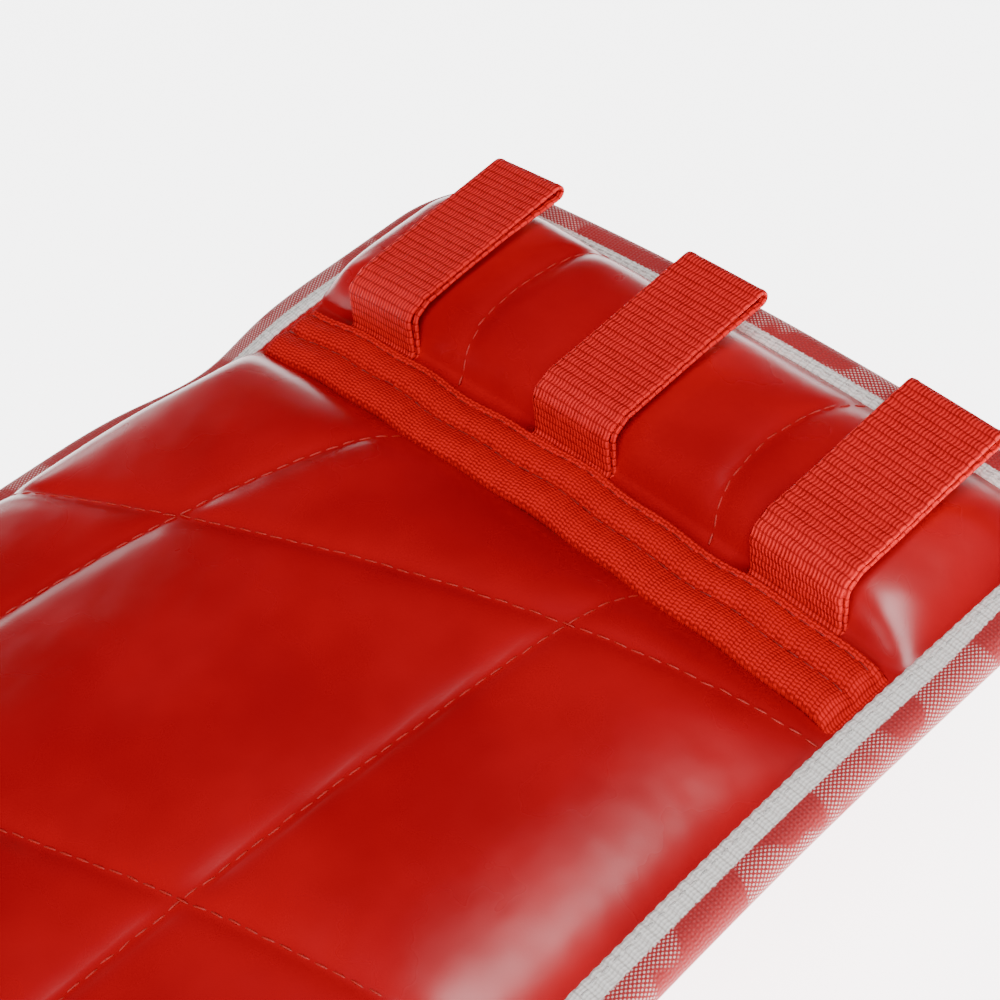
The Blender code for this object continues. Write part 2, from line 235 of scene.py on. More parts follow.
class Finish:
    """A material under construction, and the methods that add its nodes."""

    def __init__(self, name, colour, roughness, **constants):
        self.material = bpy.data.materials.new(name)
        self.material.use_nodes = True
        self.tree = self.material.node_tree
        self.shader = self.tree.nodes["Principled BSDF"]
        self.shader.inputs["Base Color"].default_value = (*colour, 1.0)
        self.shader.inputs["Roughness"].default_value = roughness
        for socket, value in constants.items():
            self.shader.inputs[socket.replace("_", " ")].default_value = value

    def plug(self, socket, value):
        """Links a signal or an output, or sets a plain value."""
        if isinstance(value, Signal):
            self.tree.links.new(value.socket, socket)
        elif isinstance(value, bpy.types.NodeSocket):
            self.tree.links.new(value, socket)
        elif isinstance(value, tuple) and len(value) == 3 and socket.type == "RGBA":
            socket.default_value = (*value, 1.0)
        else:
            socket.default_value = value

    def node(self, kind, settings, inputs):
        """Any node: its settings first, then its inputs by name or number."""
        made = self.tree.nodes.new(kind)
        for key, value in settings.items():
            setattr(made, key, value)
        for key, value in inputs.items():
            self.plug(made.inputs[key], value)
        return made

    def maths(self, operation, a, b=0.0):
        """The result of a Math node."""
        return Signal(self, self.node("ShaderNodeMath", {"operation": operation}, {0: a, 1: b}).outputs[0])

    def mix(self, mask, low, high):
        """A colour between low and high."""
        made = self.node("ShaderNodeMix", {"data_type": "RGBA"}, {"Factor": mask, 6: low, 7: high})
        return made.outputs[2]

    def place(self):
        """The point on the object, in metres."""
        return self.node("ShaderNodeTexCoord", {}, {}).outputs["Object"]

    def along_across(self):
        """The two lengths of the piece's weave map, in metres."""
        read = self.node("ShaderNodeUVMap", {"uv_map": "weave"}, {})
        parts = self.node("ShaderNodeSeparateXYZ", {}, {0: read.outputs[0]})
        return Signal(self, parts.outputs[0]), Signal(self, parts.outputs[1])

    def noise(self, size, where=None, detail=3.0, stretch=(1.0, 1.0, 1.0)):
        """Smooth random values, size across, from about 0.3 to 0.7."""
        spot = where if where is not None else self.place()
        spot = self.node("ShaderNodeMapping", {}, {"Vector": spot, "Scale": stretch}).outputs[0]
        made = self.node("ShaderNodeTexNoise", {}, {"Vector": spot, "Scale": 1 / size, "Detail": detail})
        return Signal(self, made.outputs[0])

    def pattern_point(self, a, b):
        """A point on a flat pattern, for a noise to read."""
        return self.node("ShaderNodeCombineXYZ", {}, {0: a, 1: b}).outputs[0]

    def colour(self, output):
        self.plug(self.shader.inputs["Base Color"], output)

    def rough(self, signal):
        self.plug(self.shader.inputs["Roughness"], signal)

    def relief(self, height, depth):
        """Bump from a height signal of 0 to 1, depth metres from bottom to top."""
        bump = self.node("ShaderNodeBump", {}, {"Height": height, "Distance": depth})
        self.plug(self.shader.inputs["Normal"], bump.outputs[0])


# %% [markdown]
# **Coated fabric.** The covers are a smooth polyurethane skin on cloth. Its red is even, its gloss is soft and
# slightly uneven, and at a low angle it turns paler, as all smooth coatings do. A very fine grain and a slow,
# shallow ripple keep the highlights from looking like glass.

# %% Coated fabric
RED = (0.43, 0.0003, 0.0055)


def coated_fabric(name, colour, gloss):
    """Smooth red skin: colour drifts a little over 40 mm, gloss over 25 mm, and the grain is 0.5 mm."""
    skin = Finish(name, colour, gloss, Specular_IOR_Level=0.5)
    drift = skin.noise(40 * MM)
    darker = tuple(c * 0.86 for c in colour)
    lighter = tuple(c * 1.10 for c in colour)
    skin.colour(skin.mix(drift.rise(0.3, 0.7), darker, lighter))
    skin.rough(gloss + (skin.noise(25 * MM) - 0.5) * 0.16)
    grain = skin.noise(0.55 * MM, detail=2.0)
    ripple = skin.noise(9 * MM, detail=1.0)
    skin.relief(grain * 0.06 + ripple * 0.94, 0.12 * MM)
    return skin.material


FACE_SKIN = coated_fabric("face_skin", RED, 0.28)
BACK_SKIN = coated_fabric("back_skin", (0.38, 0.0008, 0.0060), 0.36)
print("skins:", FACE_SKIN.name, BACK_SKIN.name)

# %% [markdown]
# ** Webbing.** Heavy polypropylene webbing shows rows of small yarns across its width. They sway one way in one
# row and the other way in the next, with a low line between rows. The colour is painted darker in the gaps as
# shade and lighter on the yarn tops as a highlight. The rows are 2.2 mm long and the yarns 0.95 mm apart. The
# same function makes the finer webbing of the cross band from other sizes.


# %% Webbing
def swaying_rows(along, across, row, column, swing):
    """Height of the weave: a sine across the width, whose phase sways one way and then the other from row to
    row, cut by a low line between rows. The finishes paint the colour darker along it, as shade."""
    sway = (along / (2 * row)).sine() * (0.5 * swing)
    yarn = (across / column + sway).sine() * 0.5 + 0.5
    line = abs((along / row).part() - 0.5) * 2
    return (yarn * 0.7 + 0.3) * (1 - (line ** 4) * 0.75)


def webbing(name, colour, row=2.2 * MM, column=0.95 * MM, swing=0.4, depth=0.45 * MM, shine=0.55):
    """Woven webbing: yarn tops painted lighter as a highlight, gaps painted darker as shade, fine strands
    along each yarn, and uneven yarns.
    """
    cloth = Finish(name, colour, shine, Specular_IOR_Level=0.10)
    along, across = cloth.along_across()
    wander = (cloth.noise(5 * MM) - 0.5) * 0.25
    weave = swaying_rows(along + wander * row, across, row, column, swing)
    spot = cloth.pattern_point(along, across)
    strands = cloth.noise(0.35 * MM, spot, stretch=(0.35, 1.0, 1.0))
    height = weave * 0.8 + strands * 0.2
    # Painted shade in the weave's gaps and painted highlight on the yarn tops; the 3 mm noise adds real uneven
    # tone.
    dark = tuple(c * 0.50 for c in colour)
    light = tuple(min(1.0, c * 1.25 + 0.004) for c in colour)
    cloth.colour(cloth.mix((height + (cloth.noise(3 * MM) - 0.5) * 0.3).rise(0.15, 0.8), dark, light))
    cloth.rough(shine + (1 - weave) * 0.2)
    cloth.relief(height, depth)
    return cloth.material


LOOP_WEBBING = webbing("loop_webbing", (0.70, 0.008, 0.010))
BAND_WEBBING = webbing("band_webbing", (0.56, 0.001, 0.003), 1.1 * MM, 0.8 * MM, 0.30, 0.12 * MM, 0.72)
STRAP_WEBBING = webbing("strap_webbing", (0.56, 0.004, 0.006), 2.3 * MM, 1.2 * MM, 0.6, 0.45 * MM)
print("webbings:", LOOP_WEBBING.name, BAND_WEBBING.name, STRAP_WEBBING.name)

# %% [markdown]
# **Edge tape.** The tape is woven with a white border on each side and a red field between. White weft shows
# through the red as rows of dots, and in places the red covers it. The two lengths of the weave map tell the
# tape where it is: along the edge, and across the tape from one border to the other.

# %% Edge tape
TAPE_WIDTH = 35 * MM
BORDER = 7.2 * MM


def edge_tape():
    """Two borders and a field. The borders' inner line is ragged by one rib, the field's dots sit in
    diagonal rows 0.9 mm apart, and a slow pattern hides them over some stretches."""
    tape = Finish("edge_tape", (0.6, 0.1, 0.1), 0.7, Sheen_Weight=0.15, Sheen_Roughness=0.5)
    along, across = tape.along_across()
    spot = tape.pattern_point(along, across)
    ragged = (tape.noise(0.9 * MM, spot) - 0.5) * (1.4 * MM)
    inner = abs(across / TAPE_WIDTH - 0.5) * TAPE_WIDTH + ragged
    border = inner.rise(TAPE_WIDTH / 2 - BORDER - 0.25 * MM, TAPE_WIDTH / 2 - BORDER + 0.25 * MM)
    pitch = 1.3 * MM
    a, b = along / pitch, across / pitch
    dots = (a.sine() * b.sine()).rise(0.12, 0.50)
    patches = tape.noise(16 * MM, spot, stretch=(1.0, 0.55, 1.0), detail=1.0).rise(0.49, 0.55)
    red = tape.mix(dots * (0.04 + patches * 0.86), (0.40, 0.008, 0.012), (0.80, 0.55, 0.53))
    fibre = tape.noise(0.5 * MM, spot)
    knit = swaying_rows(along, across, 2.1 * MM, 1.15 * MM, 0.4)
    # Painted shade: the white border is darker where the knit height dips between rows; the fibre noise adds
    # real uneven tone.
    white = tape.mix((knit * 0.7 + fibre * 0.3).rise(0.1, 0.7), (0.60, 0.55, 0.52), (0.98, 0.94, 0.91))
    tape.colour(tape.mix(border, red, white))
    rib = (along / (0.95 * MM)).sine() * 0.5 + 0.5
    tape.relief(rib * 0.35 + knit * 0.45 + fibre * 0.2, 0.22 * MM)
    tape.rough(0.66 + fibre * 0.2)
    return tape.material


EDGE_TAPE = edge_tape()
print("tape:", len(EDGE_TAPE.node_tree.nodes), "nodes")


# %% Thread, metal, hook-and-loop and foam
def thread(name, colour):
    """Twisted thread: fine slanted strands, the colour painted darker in their hollows as shade."""
    made = Finish(name, colour, 0.55, Sheen_Weight=0.05)
    strand = made.noise(0.3 * MM)
    # Painted shade: the noise that gives the relief also darkens the colour in its hollows.
    made.colour(made.mix(strand.rise(0.35, 0.65), tuple(c * 0.6 for c in colour), colour))
    made.relief(strand, 0.08 * MM)
    return made.material


def plated_wire():
    """Nickel plate over drawn wire: fine scratches, and slightly duller spots."""
    made = Finish("plated_wire", (0.62, 0.61, 0.60), 0.25, Metallic=1.0)
    scratches = made.noise(0.4 * MM, stretch=(1.0, 0.08, 1.0))
    made.rough(0.20 + made.noise(4 * MM) * 0.15 + scratches * 0.08)
    made.colour(made.mix(made.noise(6 * MM), (0.52, 0.51, 0.50), (0.70, 0.69, 0.68)))
    made.relief(scratches, 0.02 * MM)
    return made.material


def pile(name, colour, size):
    """Hook or loop tape: a dense, rough pile, the colour painted darker between the tufts as shade."""
    made = Finish(name, colour, 0.95, Sheen_Weight=0.4, Sheen_Roughness=0.6)
    tufts = made.noise(size, detail=5.0)
    # Painted shade: the hollows between tufts are painted darker, by the same noise that gives the relief.
    made.colour(made.mix(tufts.rise(0.35, 0.65), tuple(c * 0.35 for c in colour), colour))
    made.relief(tufts, 0.6 * MM)
    return made.material


def open_foam(name, colour):
    """Foam: small pores in a pale body, painted darker as the shade inside them."""
    made = Finish(name, colour, 0.95)
    pores = made.noise(0.8 * MM, detail=4.0).rise(0.38, 0.52)
    # Painted shade: the pores, which are also the relief's hollows, are painted darker.
    made.colour(made.mix(pores, tuple(c * 0.5 for c in colour), colour))
    made.relief(pores, 0.3 * MM)
    return made.material


SEAM_THREAD = thread("seam_thread", (0.56, 0.010, 0.006))
BAND_THREAD = thread("band_thread", (0.34, 0.002, 0.002))
WHITE_THREAD = thread("white_thread", (0.72, 0.68, 0.66))
WIRE = plated_wire()
LOOP_PILE = pile("loop_pile", (0.34, 0.008, 0.007), 0.7 * MM)
HOOK_PILE = pile("hook_pile", (0.26, 0.007, 0.006), 0.45 * MM)
SOFT_FOAM = open_foam("soft_foam", (0.80, 0.76, 0.62))
FIRM_FOAM = open_foam("firm_foam", (0.10, 0.10, 0.11))
print("finishes so far:", len(bpy.data.materials))

# %% [markdown]
# ## The quilted face
# The face is one sheet. It is sewn down along two long seams and a set of cross seams that run at a slant, and
# the foam pushes it up between them. Its height is a product of falls: one at the bound edge, one at the fold,
# and a groove along every seam, each an exponential of the distance. That gives cells that swell softly and
# meet in narrow grooves. Distances are taken to curves, so the seams can bend as the real ones do.

# %% Seams
BAND_HALF = 9.5 * MM
CROSS_SPACING = 95 * MM
CROSS_SLANT = 67 * MM
CROSS_FIRST = 13 * MM


def long_seam_left(y):
    """x of the left long seam: it bends outwards away from the fold and then runs straight."""
    s = np.clip(FOLD_Y - 0.013 - y, 0, 0.116)
    return -0.035 - 0.428 * s + 1.85 * s**2


def long_seam_right(y):
    """x of the right long seam, which bends the same way but less."""
    s = np.clip(FOLD_Y - 0.013 - y, 0, 0.144)
    return 0.042 - 0.130 * s + 0.45 * s**2


def cross_seam(x, number):
    """y of a cross seam: it starts at the right edge and falls away to the left, faster and faster."""
    t = (0.095 - x) / 0.185
    return FOLD_Y - CROSS_FIRST - number * CROSS_SPACING - CROSS_SLANT * (0.70 * t + 0.30 * t**2)


def flap_seam(y, middle):
    """x of a seam on the flap: a shallow parabola, at x = middle halfway along the flap."""
    return middle + 7.5 * (y - FOLD_Y - 0.038) ** 2


CROSS_COUNT, FLAP_LEFT, FLAP_RIGHT = 4, -0.0445, 0.0370
print("seams:", CROSS_COUNT, "across, 2 along, 2 on the flap")


# %% Height of the face
def groove(distance, width):
    """1 on a seam, falling off as an exponential of distance."""
    return np.exp(-((np.abs(distance) / width) ** 1.25))


def edge_distance(x, y):
    """How far a point is inside the pad's outline, with round corners at both ends."""
    dx = half_width(y) - np.abs(x)
    dy = np.minimum(FLAP_END - y, y - MAIN_END)
    inside = CORNER - np.hypot(np.maximum(CORNER - dx, 0), np.maximum(CORNER - dy, 0))
    return np.where((dx < CORNER) & (dy < CORNER), inside, np.minimum(dx, dy))


def seam_grooves(x, y, width=1.0):
    """All the grooves together: 1 less the product of what each leaves."""
    main = y < FOLD_Y
    left = 1 - groove(x - np.where(main, long_seam_left(y), flap_seam(y, FLAP_LEFT)), 3.2 * MM * width)
    right = 1 - groove(x - np.where(main, long_seam_right(y), flap_seam(y, FLAP_RIGHT)), 3.2 * MM * width)
    rest = left * right
    for number in range(CROSS_COUNT):
        rest = rest * (1 - groove((y - cross_seam(x, number)) * 0.93, 3.0 * MM * width) * main)
    return 1 - rest


def swell(x, y):
    """0 at the tape and at the band, rising to 1 inside as exponentials of both distances. The left side rises
    faster than the right."""
    inside = edge_distance(x, y) - TAPE_IN + 1.2 * MM
    side = np.clip(x / 0.06, -1, 1)
    fall = 1 - np.exp(-np.clip(inside, 0, None) / ((7.4 + 4.4 * side) * MM))
    from_fold = np.where(y < FOLD_Y, FOLD_Y - 8.5 * MM - y, y - FOLD_Y - 12.4 * MM)
    valley = 1 - np.exp(-np.clip(from_fold, 0, None) / np.where(y < FOLD_Y, 7 * MM, 4.2 * MM))
    return fall * valley


def crease(x, y, start, stop, width):
    """A short fold in the skin: 1 on the line from start to stop, a bell curve across it and past its ends."""
    a, b = np.array(start) * MM, np.array(stop) * MM
    ahead = b - a
    t = np.clip(((x - a[0]) * ahead[0] + (y - FOLD_Y - a[1]) * ahead[1]) / (ahead @ ahead), 0, 1)
    away = np.hypot(x - a[0] - t * ahead[0], y - FOLD_Y - a[1] - t * ahead[1])
    return bell(away, width * MM)


BASE, CROWN_MAIN, CROWN_FLAP, GROOVE_DEPTH = 2.6 * MM, 9.2 * MM, 10.4 * MM, 1.3 * MM
# In mm from the middle of the fold: depth, start, stop, width.
CORNER_FOLDS = ((0.3, (94, -15), (80, -30), 5.0), (0.6, (97, 11), (90, 19), 5.0),
                (0.2, (92, -14), (86, -40), 5.0), (1.2, (-92, 15), (-80, 21), 3.0))


def face_height(x, y):
    """Height of the face above the middle plane: a base, plus the swell times its crown, less the grooves and
    the corner folds, plus small puckers made by two crossed sines."""
    crown = np.where(y < FOLD_Y, CROWN_MAIN, CROWN_FLAP) + 0.8 * MM * np.clip(-x / 0.1, 0, 1)
    pucker = 0.03 * MM * np.sin(2 * np.pi * (x * 61 + y * 83)) * np.sin(2 * np.pi * (x * 37 - y * 29) + 1.3)
    folds = sum(depth * MM * crease(x, y, start, stop, width) for depth, start, stop, width in CORNER_FOLDS)
    return BASE + swell(x, y) * (crown - GROOVE_DEPTH * seam_grooves(x, y) + pucker - folds)


def face_z(x, y):
    """Height of the face: the middle plane's height plus the face's own."""
    return rim_height(x, y) + face_height(x, y)


def back_z(x, y):
    """Height of the back: from the rim's lower side at the edge to the level of the frame's flat back inside,
    with shallow grooves on the same seams."""
    inside = np.clip(edge_distance(x, y) - TAPE_IN + 1.2 * MM, 0, None)
    from_fold = np.clip(np.abs(y - FOLD_Y) - BAND_HALF + 1.0 * MM, 0, None)
    full = (1 - np.exp(-inside / (6 * MM))) * (1 - np.exp(-from_fold / (5 * MM)))
    edge = rim_height(x, y) - 2.6 * MM
    return edge + full * (BACK_Z - edge) + full * 1.4 * MM * seam_grooves(x, y, 0.6)


print("face over the rim:", round(float(face_height(0.0, -0.05)) / MM, 1), "mm in the middle of a cell")

# %% [markdown]
# The formula gives the cells, but cloth also has slack, which gathers in small ripples along a seam. A short
# cloth simulation adds them: every third point each way makes a coarser sheet, which is held at the seams and
# the edges, cut a little too large and blown up gently. How far its points move is kept within narrow limits,
# so that the skin can't sink into the foam, and is then spread over the fine grid.

# %% Slack in the skin
def enlarge(grid, rows, columns):
    """A grid of values spread over more rows and columns, in proportion between neighbours."""
    for axis, count in ((0, rows), (1, columns)):
        at = np.linspace(0, grid.shape[axis] - 1, count)
        below = np.minimum(at.astype(int), grid.shape[axis] - 2)
        part = (at - below).reshape([-1 if k == axis else 1 for k in range(3)])
        grid = np.take(grid, below, axis) * (1 - part) + np.take(grid, below + 1, axis) * part
    return grid


def puff(points, free, frames=20):
    """How far each point of a sheet moves when it is blown up. free is 0 where the sheet is sewn and 1 where it
    is not. A hyperbolic tangent keeps every move below its limit, and three rounds of averaging smooth them."""
    coarse, hold = points[::3, ::3], 1 - free[::3, ::3]
    rows, columns = hold.shape
    sheet = add_piece("slack_sheet", coarse, grid_faces(rows, columns), FACE_SKIN)
    held = sheet.vertex_groups.new(name="held")
    weights = np.clip(hold * 1.5 - 0.1, 0, 1)
    weights[[0, -1], :] = 1
    weights[:, [0, -1]] = 1
    for weight in np.unique(weights):
        held.add(np.flatnonzero(weights == weight).tolist(), float(weight), "REPLACE")
    cloth = sheet.modifiers.new("cloth", "CLOTH").settings
    cloth.vertex_group_mass = "held"
    cloth.effector_weights.gravity = 0
    cloth.use_pressure, cloth.uniform_pressure_force = True, 3.0
    cloth.shrink_min = -0.003
    cloth.tension_stiffness = cloth.compression_stiffness = 20
    cloth.bending_stiffness = 0.4
    for frame_number in range(1, frames + 1):
        bpy.context.scene.frame_set(frame_number)
    shape = sheet.evaluated_get(bpy.context.evaluated_depsgraph_get()).data
    moved = np.empty(rows * columns * 3, dtype=np.float32)
    shape.vertices.foreach_get("co", moved)
    moved = moved.reshape(rows, columns, 3) - coarse
    print("the slack moved the skin by up to", round(float(np.abs(moved).max()) / MM, 2), "mm")
    bpy.data.objects.remove(sheet)
    bpy.context.scene.frame_set(1)
    limit = np.full_like(moved, 1.2 * MM)
    limit[..., 2] = np.where(moved[..., 2] > 0, 1.4 * MM, 0.5 * MM)
    moved = limit * np.tanh(moved / limit)
    for _ in range(3):
        moved[1:-1, 1:-1] = (moved[1:-1, 1:-1] * 2 + moved[:-2, 1:-1] + moved[2:, 1:-1] + moved[1:-1, :-2]
                             + moved[1:-1, 2:]) / 6
    return enlarge(moved * (1 - weights[..., None]), *points.shape[:2])


# %% [markdown]
# The sheet is a grid that follows the outline: a row of points at each y, squeezed to the width there, so the
# round corners need no special faces. The grid stops under the tape, and a Solidify modifier gives the sheet
# its thickness.

# %% The two covers
def outline_half(y, inset):
    """Half width of the outline drawn in by inset: at the ends a quarter circle draws it in further."""
    reach = CORNER - inset
    near = np.clip(CORNER - np.minimum(FLAP_END - y, y - MAIN_END), 0, reach)
    return half_width(y) - inset - (reach - np.sqrt(np.clip(reach**2 - near**2, 0, None)))


def pad_grid(inset, rows, columns, low=None, high=None):
    """x and y between low and high, out to inset from the pad's edge, with rows closer together near both ends,
    where the outline turns."""
    low = MAIN_END + inset if low is None else low
    high = FLAP_END - inset if high is None else high
    even = np.linspace(0, 1, rows)
    t = 0.78 * even + 0.22 * (1 - np.cos(np.pi * even)) / 2
    y = (low + t * (high - low))[:, None] + np.zeros(columns)
    s = np.linspace(-1, 1, columns)
    return outline_half(y, inset) * s, y


x, y = pad_grid(TAPE_IN - 3 * MM, 300, 141)
faces = grid_faces(*x.shape)
face_points = np.stack([x, y, face_z(x, y)], -1)
face_points = face_points + puff(face_points, swell(x, y) * (1 - seam_grooves(x, y, 0.8)))
face_cover = add_piece("face_cover", drawn_in(face_points), faces, FACE_SKIN)
back_points = np.stack([x, y, back_z(x, y)], -1)
back_cover = add_piece("back_cover", drawn_in(back_points), faces[:, ::-1], BACK_SKIN)
for cover in (face_cover, back_cover):
    thicken(cover, 1.2 * MM)
print("face cover:", len(face_cover.data.vertices), "points")

# %% [markdown]
# Inside are two layers of foam in each part, a soft one under the face and a firm one behind it. They follow
# the covers a little inside them. Each is a block: a top sheet, a bottom sheet, and walls that join their
# borders.


# %% Foam
def block(name, x, y, top, bottom, finish):
    """A closed block over one grid: the top faces, the bottom faces turned over, and four strips of wall."""
    rows, columns = x.shape
    count = rows * columns
    points = np.concatenate([np.stack([x, y, z + 0 * x], -1).reshape(-1, 3) for z in (top, bottom)])
    sheet = grid_faces(rows, columns)
    at = np.arange(count).reshape(rows, columns)
    ring = np.concatenate([at[0, :-1], at[:-1, -1], at[-1, :0:-1], at[:0:-1, 0]])
    after = np.roll(ring, -1)
    walls = np.stack([ring, ring + count, after + count, after], -1)
    faces = np.concatenate([sheet, sheet[:, ::-1] + count, walls[:, ::-1]])
    return add_piece(name, drawn_in(points), faces, finish)


SKIN = 1.6 * MM
FOAM = {}
for part, low, high in (("main", MAIN_END + 0.015, FOLD_Y - 0.012), ("flap", FOLD_Y + 0.013, FLAP_END - 0.015)):
    x, y = pad_grid(15 * MM, 90, 61, low, high)
    middle = rim_height(x, y)
    under = face_z(x, y) - SKIN - 0.5 * MM - 1.6 * MM * seam_grooves(x, y, 2.0)
    FOAM[part, "soft"] = block(f"{part}_soft_layer", x, y, np.maximum(under, middle + 0.6 * MM),
                               middle + 0.3 * MM, SOFT_FOAM)
    FOAM[part, "firm"] = block(f"{part}_firm_layer", x, y, middle - 0.1 * MM,
                               np.minimum(back_z(x, y) + SKIN + 0.3 * MM, middle - 0.6 * MM), FIRM_FOAM)
print("foam:", [piece.name for piece in FOAM.values()])

# %% [markdown]
# ## Swept pieces
# Tape, webbing and wire are all one outline carried along a path. The path is a set of corners with a radius at
# each, in a plane; the outline is a closed set of points to the path's side and along its width.


# %% Paths and sweeps
def in_mm(*values):
    """An array of lengths given in millimetres."""
    return np.array(values, float) * MM


def round_path(corners, radii, step=1 * MM):
    """A path through corners, each rounded by an arc that touches both sides, as points about step apart. The
    arc starts r tan(half the turn) before the corner."""
    corners = np.array(corners, float)
    pieces = [corners[:1]]
    for before, corner, after, r in zip(corners, corners[1:], corners[2:], radii):
        a, b = unit(corner - before), unit(after - corner)
        turn = math.atan2(a[0] * b[1] - a[1] * b[0], a @ b)
        start = corner - a * r * math.tan(abs(turn) / 2)
        side = math.copysign(1, turn)
        t = np.linspace(0, abs(turn), max(4, int(abs(turn) * r / step) + 1))[:, None]
        pieces.append(start + a * r * np.sin(t) + np.array([-a[1], a[0]]) * side * r * (1 - np.cos(t)))
    pieces.append(corners[-1:])
    return spread(np.concatenate(pieces), step)


def side_of(path, closed=False):
    """Unit vectors to the left of a path in its plane."""
    ahead = np.roll(path, -1, 0) - np.roll(path, 1, 0) if closed else np.gradient(path, axis=0)
    ahead = unit(ahead)
    return np.stack([-ahead[:, 1], ahead[:, 0]], -1)


def flat_outline(width, thickness, across=26):
    """Outline of a strap: two flat sides with a bead along each edge, joined by round edges. Pairs of the
    distance along the width and the height."""
    t = np.linspace(-1, 1, across)
    bead = 0.12 * MM * bell(np.abs(t) - 0.93, 0.05)
    top = np.stack([t * (width / 2 - thickness * 0.35), thickness / 2 + bead], -1)
    turn = np.linspace(np.pi / 2, -np.pi / 2, 7)[1:-1]
    edge = np.stack([width / 2 - thickness * (0.35 - 0.42 * np.cos(turn)), thickness / 2 * np.sin(turn)], -1)
    return np.concatenate([top, edge, top[::-1] * [1, -1], edge[::-1] * [-1, 1]])


def strap(name, path, plane, centre, width, thickness, finish):
    """A strap along a path in the xz or yz plane. Each path point gets the outline, its height along the path's
    side and its width along the axis out of the plane. The ends are closed with one face each."""
    side = side_of(path)
    outline = flat_outline(width, thickness)
    rows, columns = len(path), len(outline)
    flat = path[:, None, :] + side[:, None, :] * outline[None, :, 1, None]
    out = np.broadcast_to(centre + outline[:, 0], (rows, columns))
    order = (flat[..., 0], out, flat[..., 1]) if plane == "xz" else (out, flat[..., 0], flat[..., 1])
    points = np.stack(order, -1)
    faces = grid_faces(rows, columns, closed_columns=True)
    if plane == "yz":
        faces = faces[:, ::-1]
    along = np.broadcast_to(arc_length(path)[:, None], (rows, columns))
    across = np.broadcast_to(outline[:, 0] + width / 2, (rows, columns))
    return close_ends(add_piece(name, points, faces, finish, np.stack([along, across], -1)), rows, columns)


def close_ends(piece, rows, columns):
    """Adds one face over each end of a tube."""
    shape = bmesh.new()
    shape.from_mesh(piece.data)
    shape.verts.ensure_lookup_table()
    for ring in (range(columns), range((rows - 1) * columns, rows * columns)):
        shape.faces.new([shape.verts[k] for k in ring])
    bmesh.ops.recalc_face_normals(shape, faces=shape.faces)
    shape.to_mesh(piece.data)
    shape.free()
    return piece


# %% [markdown]
# **The binding.** The tape lies on the face, turns round the edge over a soft core and comes back on the other
# side. Its outline is a C, and it is carried all the way round the pad's outline.

# %% Edge binding
RIM_HALF = 4.0 * MM


def outline_loop(stations):
    """Points and outward directions all round the pad's outline, evenly spaced: the two long sides, the two
    ends and a quarter circle at each corner."""
    quarter = np.linspace(0, np.pi / 2, 30)
    parts, normals = [], []
    for sx, sy, end in ((1, 1, FLAP_END), (-1, 1, FLAP_END), (-1, -1, MAIN_END), (1, -1, MAIN_END)):
        turn = quarter if sx * sy > 0 else quarter[::-1]
        centre_y = end - sy * CORNER
        centre_x = sx * (half_width(np.array(centre_y)) - CORNER)
        parts.append(np.stack([centre_x + sx * CORNER * np.cos(turn),
                               centre_y + sy * CORNER * np.sin(turn)], -1))
        normals.append(np.stack([sx * np.cos(turn), sy * np.sin(turn)], -1))
        if sx * sy > 0:
            continue
        y_side = np.linspace(centre_y, MAIN_END + CORNER if sx < 0 else FLAP_END - CORNER, 240)[1:-1]
        parts.append(np.stack([sx * half_width(y_side), y_side], -1))
        normals.append(np.stack([np.full(len(y_side), float(sx)), 0 * y_side], -1))
    line, normal = np.concatenate(parts), np.concatenate(normals)
    line, normal = np.vstack([line, line[:1]]), np.vstack([normal, normal[:1]])
    length = arc_length(line)
    even = np.linspace(0, length[-1], stations, endpoint=False)
    line, normal = (np.stack([np.interp(even, length, column) for column in rows.T], -1)
                    for rows in (line, normal))
    return line, unit(normal), length[-1]


def tape_line(inset, half, lift=0.0):
    """The C of the tape as (inset, height) pairs: a leg on the face, a half circle round the rim, and a leg on
    the back."""
    turn = np.linspace(np.pi / 2, -np.pi / 2, 25)
    round_part = np.stack([half + lift - (half + lift) * np.cos(turn) - lift, (half + lift) * np.sin(turn)], -1)
    leg = np.linspace(inset, half + 0.8 * MM, 12)
    tuck = 0.5 * MM * np.clip((leg - inset + 2 * MM) / (2 * MM), 0, 1) ** 2
    top = np.stack([leg, half + lift - tuck], -1)
    bottom = top[::-1] * [1, -1]
    return np.concatenate([top, round_part, bottom])


line, normal, ROUND = outline_loop(2400)
outer = tape_line(TAPE_IN, RIM_HALF)
inner = tape_line(TAPE_IN, RIM_HALF, -0.9 * MM)
profile = np.concatenate([outer, inner[::-1]])
around = np.linspace(0, ROUND, len(line), endpoint=False)
scallop = 0.12 * MM * np.sin(2 * np.pi * around / (3.1 * MM))[:, None]
on_legs = np.clip((profile[:, 0] - 8 * MM) / (3 * MM), 0, 1)[None, :]
inset = profile[None, :, 0] + scallop * on_legs
xy = line[:, None, :] - normal[:, None, :] * inset[..., None]
z = rim_height(xy[..., 0], xy[..., 1]) + profile[None, :, 1]
reach = arc_length(outer)
reach = np.concatenate([reach, reach[::-1]]) * TAPE_WIDTH / reach[-1]
to_left, to_end = -line[:, 0] / 0.08, (line[:, 1] - FOLD_Y - 0.02) / 0.04
drift = 2.6 * MM * np.clip(np.maximum(to_left, to_end), 0, 1)
weave = np.stack(np.broadcast_arrays(around[:, None], reach[None, :] + drift[:, None]), -1)
faces = grid_faces(len(line), len(profile), True, True)
points = drawn_in(np.concatenate([xy, z[..., None]], -1))
binding = add_piece("edge_binding", points, faces[:, ::-1], EDGE_TAPE, weave)
print("edge binding:", round(ROUND, 3), "m round,", len(faces), "faces")

# %% [markdown]
# ** The cross band.** Two strips cover the fold, one from each side, and both are sewn down along it. On the pad
# they read as one band with a groove in the middle, so one piece is made, whole across the fold.

# %% Cross band
BAND_REACH = 9.5 * MM


